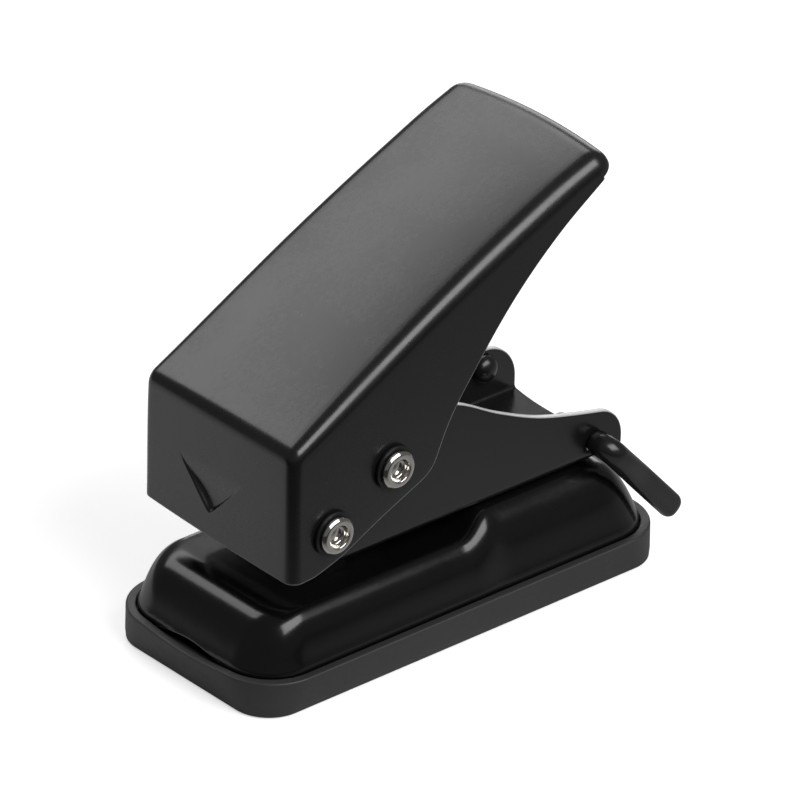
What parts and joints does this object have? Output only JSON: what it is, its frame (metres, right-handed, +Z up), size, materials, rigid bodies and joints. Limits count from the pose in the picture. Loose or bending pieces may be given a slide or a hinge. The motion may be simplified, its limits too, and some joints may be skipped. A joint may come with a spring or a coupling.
{
  "type": "hole punch",
  "caption": "Desk hole punch: pressed-steel lever on a channel frame, drawn pan with a paper slot, clip-on chip tray and a swinging lock arm.",
  "frame": {"origin": "centre of the tray's flat underside", "axes": "+Z up, +X from the paper's entry towards the lever's free end, +Y away from the lock arm's side"},
  "size_m": [0.1098, 0.0478, 0.0927],
  "materials": {
    "lever_paint": "satin black coating",
    "frame_paint": "satin black coating",
    "pan_enamel": "gloss black",
    "arm_lacquer": "gloss black",
    "tray_plastic": "fine matte texture",
    "black_nylon": "satin",
    "nickel_plate": "bright nickel plate",
    "hardened_steel": "ground",
    "spring_steel": "drawn wire"
  },
  "bodies": {
    "base": {"base_pan": "pan_enamel", "die_ring": "hardened_steel", "channel_frame": "frame_paint", "frame_rivet_near": "hardened_steel", "frame_rivet_far": "hardened_steel", "frame_rivet_rear": "hardened_steel", "pivot_rivet": "nickel_plate", "pivot_washer_near": "black_nylon", "pivot_washer_far": "black_nylon", "pivot_spacer_near": "black_nylon", "pivot_spacer_far": "black_nylon", "punch_guide": "hardened_steel", "return_spring": "spring_steel", "lock_arm_clip": "spring_steel", "ear_stud": "arm_lacquer"},
    "tray": {"base_tray": "tray_plastic"},
    "lever": {"lever": "lever_paint", "drive_rivet": "nickel_plate", "drive_washer_near": "black_nylon", "drive_washer_far": "black_nylon", "drive_spacer_near": "black_nylon", "drive_spacer_far": "black_nylon"},
    "punch": {"punch_pin": "hardened_steel"},
    "lock_arm": {"lock_arm": "arm_lacquer"}
  },
  "joints": [
    {"name": "lever_hinge", "type": "hinge", "parent": "base", "child": "lever", "pos_m": [-0.0338, 0, 0.035], "axis": [0, 1, 0], "range_deg": [0, 30], "stiffness_Nm_per_rad": 0.25, "springref_deg": -28.65},
    {"name": "punch_slide", "type": "slide", "parent": "base", "child": "punch", "axis": [0, 0, -1], "range_m": [0, 0.0086], "deforming": ["return_spring"]},
    {"name": "tray_hinge", "type": "hinge", "parent": "base", "child": "tray", "pos_m": [0.0501, 0, 0.0072], "axis": [0, -1, 0], "range_deg": [0, 25]},
    {"name": "lock_arm_swing", "type": "hinge", "parent": "base", "child": "lock_arm", "pos_m": [0.0376, 0, 0.0268], "axis": [0, -1, 0], "range_deg": [0, 90]}
  ],
  "couplings": [
    {"joint": "punch_slide", "follows": "lever_hinge", "m_per_rad": 0.01625}
  ]
}
